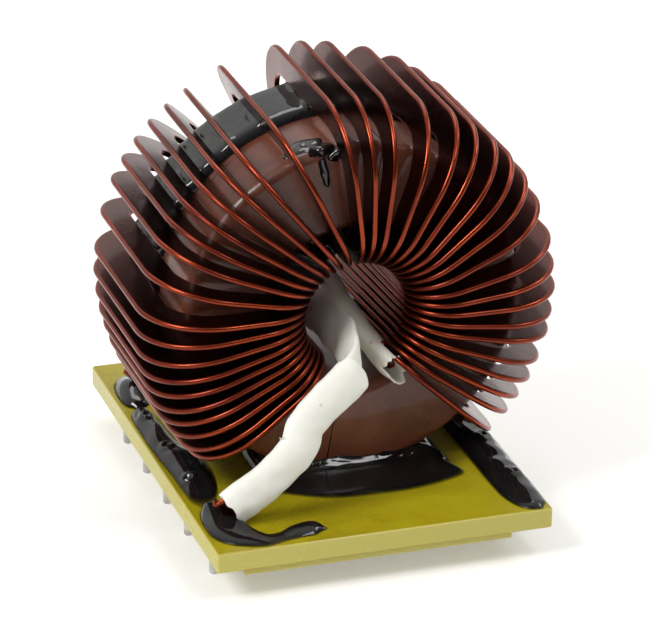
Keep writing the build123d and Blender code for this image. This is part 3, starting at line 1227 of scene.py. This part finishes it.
@dataclass(frozen=True)
class EpoxyBed:
    """Pool of epoxy under the core, drawn up against the core's front and rear faces."""

    coil: Coil
    width: float = 31.0
    depth: float = 43.0
    height: float = 1.2
    climb: float = 1.7
    climb_reach: float = 0.9
    swell: float = 0.06
    swell_wave: float = 8.0
    clear_film: float = 0.4
    outline_shares: tuple[tuple[float, float], ...] = (
        (-0.92, -0.54), (-0.85, -0.74), (-0.6, -0.88), (-0.28, -0.97), (0.12, -0.99), (0.43, -0.99),
        (0.8, -0.94), (1.06, -0.85), (1.02, -0.7), (1.0, -0.5), (0.98, 0.0), (0.9, 0.5), (0.58, 0.84),
        (0.0, 0.95), (-0.58, 0.84), (-0.84, 0.5),
    )
    inmost_share: float = 0.02
    ring_power: float = 0.8
    edge_power: float = 7.0
    dome_power: float = 0.8
    per_span: int = 12
    rings: int = 40
    seed: int = 71

    def build(self, finish: Finish) -> None:
        """Shrink the outline ring by ring to its middle, at a height that falls to zero at the edge.

        The height is one minus the 7th power of the ring's share, to the power of 0.8, times the pool's
        height plus a rise that dies away from the core's faces.

        Args:
            finish: What its surface looks like.
        """
        coil = self.coil
        outline = smooth_line(np.array(self.outline_shares), self.per_span, closed=True)
        outline = outline * np.array([self.width / 2, self.depth / 2])
        share = np.linspace(1, self.inmost_share, self.rings) ** self.ring_power
        flat = outline[None] * share[:, None, None] + np.array([0.0, coil.shift])
        away = np.abs(flat[..., 1] - coil.shift) - coil.core_height / 2
        dome = (1 - share[:, None] ** self.edge_power) ** self.dome_power
        height = dome * (self.height + self.climb * np.exp(-np.maximum(away, 0) / self.climb_reach))
        height = height * (1 + self.swell * ripple(raised(flat, 0.0), self.swell_wave, self.seed))
        film = np.clip(height / self.clear_film, 0.0, 1.0)
        grid = np.concatenate([raised(flat[:1], coil.board_top), raised(flat, coil.board_top + height)])
        surface = Surface()
        surface.add(grid, ends=True, values=np.concatenate([film[:1], film]))
        surface.piece("core_bed_pour", finish, ("core_bed_epoxy",))


@dataclass(frozen=True)
class EpoxyDabs:
    """Lumps of epoxy: most on the core's top front edge, and one between two inner legs of the winding.

    A row holds the radius and angle about the axis, the way along it, and the half sizes round the rim,
    along the axis and outwards.
    """

    coil: Coil
    dabs: tuple[tuple[float, float, float, float, float, float], ...] = (
        (26.0, 101.5, -11.6, 2.2, 1.6, 0.9),
        (25.0, 97.0, -12.5, 1.6, 1.0, 1.1),
        (26.2, 106.0, -9.6, 3.0, 2.4, 0.45),
        (22.9, 102.5, -13.1, 0.7, 0.4, 2.6),
        (9.9, 109.5, -9.6, 1.5, 2.6, 1.7),
    )
    swell: float = 0.35
    swell_wave: float = 2.4
    pole_gap: float = 0.04
    sides: int = 40
    seed: int = 91

    def build(self, finish: Finish) -> None:
        """Wrap each lump round a ball, by its three half sizes, pushed in and out by ripple.

        Args:
            finish: What its surface looks like.
        """
        around = np.linspace(0, TURN, self.sides, endpoint=False)[None]
        fall = np.linspace(self.pole_gap, np.pi - self.pole_gap, self.sides // 2)[:, None]
        ball = np.stack(np.broadcast_arrays(
            np.sin(fall) * np.cos(around), np.sin(fall) * np.sin(around), -np.cos(fall),
        ), axis=-1)
        surface = Surface()
        for radius, angle, along, wide, deep, tall in self.dabs:
            forward = np.array([0.0, -1.0, 0.0])
            shape = ball @ np.stack([wide * radial(angle - 90), deep * forward, tall * radial(angle)])
            grid = self.coil.at(radius, angle, along) + shape
            pushed = self.swell * ripple(grid, self.swell_wave, self.seed)
            surface.add(grid + unit(shape) * pushed[..., None], ends=True)
        surface.piece("top_dabs", finish, ("top_dab_epoxy",))


# Studio: floor, light and camera

def facing(azimuth: float, elevation: float) -> tuple[Array, Array, Array]:
    """Axes of something that looks at the object.

    Args:
        azimuth: Angle round the object, 0 at the front and 90 at the right, in degrees.
        elevation: Angle above the floor, in degrees.

    Returns:
        Unit directions to its right, up, and back from the object.
    """
    a, e = np.radians([azimuth, elevation])
    back = np.array([np.sin(a) * np.cos(e), -np.cos(a) * np.cos(e), np.sin(e)])
    right = np.array([np.cos(a), np.sin(a), 0.0])
    return right, np.cross(back, right), back


def stand(name: str, data: bpy.types.ID, axes: tuple[Array, Array, Array], place: Array) -> bpy.types.Object:
    """Put a camera or a lamp into the scene.

    Args:
        name: Name of the object.
        data: The camera or the lamp.
        axes: Its right, up and back.
        place: Where it stands, in metres.

    Returns:
        The new object.
    """
    turn = np.eye(4)
    turn[:3] = np.column_stack([*axes, place])
    made = bpy.data.objects.new(name, data)
    made.matrix_world = Matrix(turn.tolist())
    bpy.context.collection.objects.link(made)
    return made


@dataclass(frozen=True)
class Lamp:
    """Square soft lamp: angles in degrees, distance and length of a side in metres, power in watts."""

    name: str
    azimuth: float
    elevation: float
    away: float
    size: float
    power: float

    def build(self, target: Array) -> None:
        """Hang the lamp, looking at a place given in metres.

        Args:
            target: Place that it looks at.
        """
        data = bpy.data.lights.new(self.name, "AREA")
        data.size = self.size
        data.energy = self.power
        axes = facing(self.azimuth, self.elevation)
        stand(self.name, data, axes, axes[2] * self.away + target)


@dataclass(frozen=True)
class Studio:
    """Pale floor, white surroundings, soft lamps, and the camera at the photograph's angle."""

    azimuth: float = -18.97
    elevation: float = 24.01
    roll: float = 1.0
    distance: float = 607.05
    target: tuple[float, float, float] = (0.29, 0.0, 28.32)
    focal_pixels: float = 4000.0
    image_width: float = 650.0
    sensor: float = 36.0
    clip_start: float = 0.01
    floor_half: float = 3.0
    paper: Colour = tone(0.82, 0.815, 0.80)
    white: Colour = tone(1.0, 0.995, 0.98)
    glow: float = 0.3
    fill: Colour = tone(0.4, 0.4, 0.392)
    front_share: float = 0.06
    back_share: float = 0.7
    depth_reach: float = 0.8
    above_share: float = 0.3
    above_from: float = 0.1
    lamps: tuple[Lamp, ...] = (
        Lamp("key_lamp", -72.0, 44.0, 0.9, 0.32, 5.0),
        Lamp("side_lamp", 95.0, 42.0, 1.0, 0.3, 2.0),
        Lamp("back_lamp", 170.0, 55.0, 1.0, 0.5, 2.4),
        Lamp("front_lamp", 36.0, 58.0, 1.0, 0.28, 1.8),
    )

    def camera(self) -> None:
        """Set the camera: its back is turned by azimuth and elevation, then rolled about itself."""
        right, up, back = facing(self.azimuth, self.elevation)
        r = np.radians(self.roll)
        right, up = right * np.cos(r) + up * np.sin(r), up * np.cos(r) - right * np.sin(r)
        data = bpy.data.cameras.new("camera")
        data.sensor_fit = "HORIZONTAL"
        data.sensor_width = self.sensor
        data.lens = self.focal_pixels / self.image_width * self.sensor
        data.clip_start = self.clip_start
        eye = (np.array(self.target) + back * self.distance) * MM
        bpy.context.scene.camera = stand("camera", data, (right, up, back), eye)

    def seen(self, graph: Graph) -> bpy.types.NodeSocket:
        """Tell rays from the camera, a reflection or glass from those that light the object.

        Args:
            graph: Nodes of the floor or of the surroundings.

        Returns:
            Socket that is 1 for such rays.
        """
        path = graph.add("LightPath")
        first = graph.sums("MAXIMUM", path.outputs["Is Camera Ray"], path.outputs["Is Glossy Ray"])
        return graph.sums("MAXIMUM", first, path.outputs["Is Transmission Ray"])

    def world(self) -> None:
        """White surroundings: strength 1 where they are seen, less where they light the object.

        What metal and gloss show of them is a room that is dim at the front and white at the back and above.
        """
        made = bpy.data.worlds.new("surroundings")
        made.use_nodes = True
        graph = Graph(made.node_tree)
        way = graph.add("SeparateXYZ", None, Vector=graph.add("TexCoord").outputs["Generated"])
        ends = {"low": -self.depth_reach, "high": self.depth_reach}
        depth = graph.ranged(way.outputs["Y"], self.front_share, self.back_share, **ends)
        above = graph.ranged(way.outputs["Z"], 0.0, self.above_share, low=self.above_from)
        share = graph.sums("ADD", depth, above)
        share = graph.sums("MAXIMUM", share, graph.add("LightPath").outputs["Is Camera Ray"])
        room = graph.blend(share, tone(0.0, 0.0, 0.0), self.white)
        lit = graph.blend(self.seen(graph), self.fill, room)
        shade = graph.add("Background", None, Color=lit, Strength=1.0)
        graph.add("OutputWorld", None, Surface=shade.outputs["Background"])
        bpy.context.scene.world = made

    def floor(self) -> None:
        """Pale floor that keeps the object's shadow, lifted towards white where it is seen."""
        half = self.floor_half
        corners = [(-half, -half, 0), (half, -half, 0), (half, half, 0), (-half, half, 0)]
        mesh = bpy.data.meshes.new("floor")
        mesh.from_pydata(corners, [], [(0, 1, 2, 3)])
        material = bpy.data.materials.new("floor")
        material.use_nodes = True
        graph = Graph(material.node_tree)
        paper = graph.add("BsdfDiffuse", None, Color=self.paper)
        strength = graph.ranged(self.seen(graph), 0.0, self.glow)
        shine = graph.add("Emission", None, Color=self.white, Strength=strength)
        both = graph.add("AddShader")
        graph.feed(both.inputs[0], paper.outputs[0])
        graph.feed(both.inputs[1], shine.outputs[0])
        graph.add("OutputMaterial", None, Surface=both.outputs[0])
        mesh.materials.append(material)
        made = bpy.data.objects.new("floor", mesh)
        bpy.context.collection.objects.link(made)

    def build(self) -> None:
        """Set up floor, surroundings, lamps and camera."""
        self.floor()
        self.world()
        for lamp in self.lamps:
            lamp.build(np.array(self.target) * MM)
        self.camera()
        bpy.context.scene.view_settings.view_transform = "Standard"


# Ways of the strip ends, beads of epoxy, and the whole object

FRONT_ROUTE = Route(
    hole_shares=(
        (247.0, 1.36, 0.38, 245.0),
        (236.0, 0.93, -0.19, 241.0),
        (243.0, 0.92, -0.63, 243.0),
        (240.0, 1.02, -0.91, 255.0),
        (238.0, 1.28, -1.09, 285.0),
    ),
    drop_shares=(
        (0.06, 0.13, 0.06, 315.0),
        (0.365, 0.2, 0.355, 315.0),
        (0.44, 0.27, 0.55, 317.0),
        (0.64, 0.33, 0.75, 315.0),
        (0.95, 0.3, 0.99, 315.0),
    ),
    pin_x=LEFT_PINS_X,
    pin_y=PIN_PLACES[-1],
)
REAR_ROUTE = Route(
    hole_shares=(
        (298.5, 1.97, -0.55, 303.0),
        (296.0, 0.97, -0.14, 298.0),
        (317.0, 0.46, 0.43, 295.0),
        (292.0, 0.23, 1.0, 290.0),
        (249.0, 0.59, 1.17, 300.0),
    ),
    drop_shares=(
        (0.14, -0.13, 0.2, 315.0),
        (0.42, -0.2, 0.49, 315.0),
        (0.7, -0.23, 0.76, 315.0),
        (0.9, -0.18, 0.89, 315.0),
    ),
    pin_x=LEFT_PINS_X,
    pin_y=PIN_PLACES[0],
)
REAR_MOUTH_SHARES = ((301.5, 2.3, -0.77, 303.0),)


def beads(floor: float) -> list[EpoxyBead]:
    """Beads of epoxy on the board.

    Args:
        floor: Height of the board's top.

    Returns:
        One bead for each row of pins and for each strip end.
    """
    left = (
        (-24.7, 15.8, 0.2, 0.1), (-24.7, 13.9, 1.7, 1.2), (-24.6, 6.0, 2.1, 1.6), (-23.9, 0.0, 2.75, 1.7),
        (-23.2, -5.0, 3.15, 1.7), (-23.1, -9.0, 3.1, 1.6), (-23.5, -13.5, 2.7, 0.9), (-24.2, -17.0, 1.9, 0.3),
        (-24.5, -19.6, 0.3, 0.05),
    )
    right = (
        (22.0, 28.4, 0.2, 0.1), (22.0, 26.5, 2.4, 1.4), (21.9, 14.0, 2.9, 1.7), (21.8, 2.0, 3.05, 1.8),
        (21.8, -12.0, 3.1, 1.8), (21.8, -24.0, 3.1, 1.8), (22.0, -29.0, 2.9, 1.5), (22.6, -32.2, 2.1, 0.8),
        (23.1, -33.8, 0.4, 0.1),
    )
    front = (
        (-24.3, -19.0, 0.2, 0.1), (-24.4, -21.0, 1.6, 1.7), (-23.8, -25.0, 2.8, 2.0),
        (-22.6, -28.8, 3.4, 1.2), (-19.4, -31.4, 2.3, 0.6), (-16.4, -31.3, 1.6, 0.45),
        (-13.6, -30.4, 2.0, 0.9), (-11.2, -30.2, 1.9, 1.0), (-9.3, -30.7, 0.2, 0.1),
    )
    rear = (
        (-24.0, 27.9, 0.2, 0.1), (-24.0, 26.0, 1.8, 1.3), (-24.0, 22.0, 2.4, 2.0), (-24.2, 18.0, 2.0, 1.4),
        (-24.4, 16.1, 0.2, 0.1),
    )
    left_pins = tuple((LEFT_PINS_X, y) for y in PIN_PLACES[1:-1])
    right_pins = tuple((RIGHT_PINS_X, y) for y in PIN_PLACES)
    return [
        EpoxyBead("left_pin_pour", "left_pin_epoxy", floor, left, left_pins, seed=51),
        EpoxyBead("right_pin_pour", "right_pin_epoxy", floor, right, right_pins, seed=52),
        EpoxyBead("front_lead_pour", "front_lead_epoxy", floor, front, seed=53),
        EpoxyBead("rear_lead_pour", "rear_lead_epoxy", floor, rear, seed=54),
    ]


def main() -> None:
    """Build and dress every piece in order, then set up the studio."""
    logging.basicConfig(level=logging.INFO, format="%(name)s %(message)s")
    coil = Coil()
    epoxy = BlackEpoxy()
    sleeving = Sleeving()
    tin = TinnedMetal()
    winding = Winding(coil, FRONT_ROUTE, REAR_ROUTE)
    winding.build(EnamelledCopper())
    Core(coil).build(CoreCoating())
    RimBand(coil, winding.core_angles()).build(epoxy)
    Sleeve("front_sleeve_skin", "front_sleeve", coil, FRONT_ROUTE, flat_share=0.4, seed=21).build(sleeving)
    rear_sleeve = Sleeve(
        "rear_sleeve_skin", "rear_sleeve", coil, REAR_ROUTE,
        ragged=0.7, mouth_shares=REAR_MOUTH_SHARES, seed=24,
    )
    rear_sleeve.build(sleeving)
    Slab("base_board_slab", "base_board").build(Laminate("board_laminate"))
    spacer_tones = {"dark": tone(0.50, 0.42, 0.06), "light": tone(0.62, 0.54, 0.12)}
    Slab("spacer_board_slab", "spacer_board", edge=0.1).build(Laminate("spacer_laminate", **spacer_tones))
    PinRow("left_pin_row", "left_pins", LEFT_PINS_X).build(tin)
    PinRow("right_pin_row", "right_pins", RIGHT_PINS_X).build(tin)
    EpoxyBed(coil).build(epoxy)
    for bead in beads(coil.board_top):
        bead.build(epoxy)
    EpoxyDabs(coil).build(epoxy)
    Studio().build()


if __name__ == "__main__":
    main()
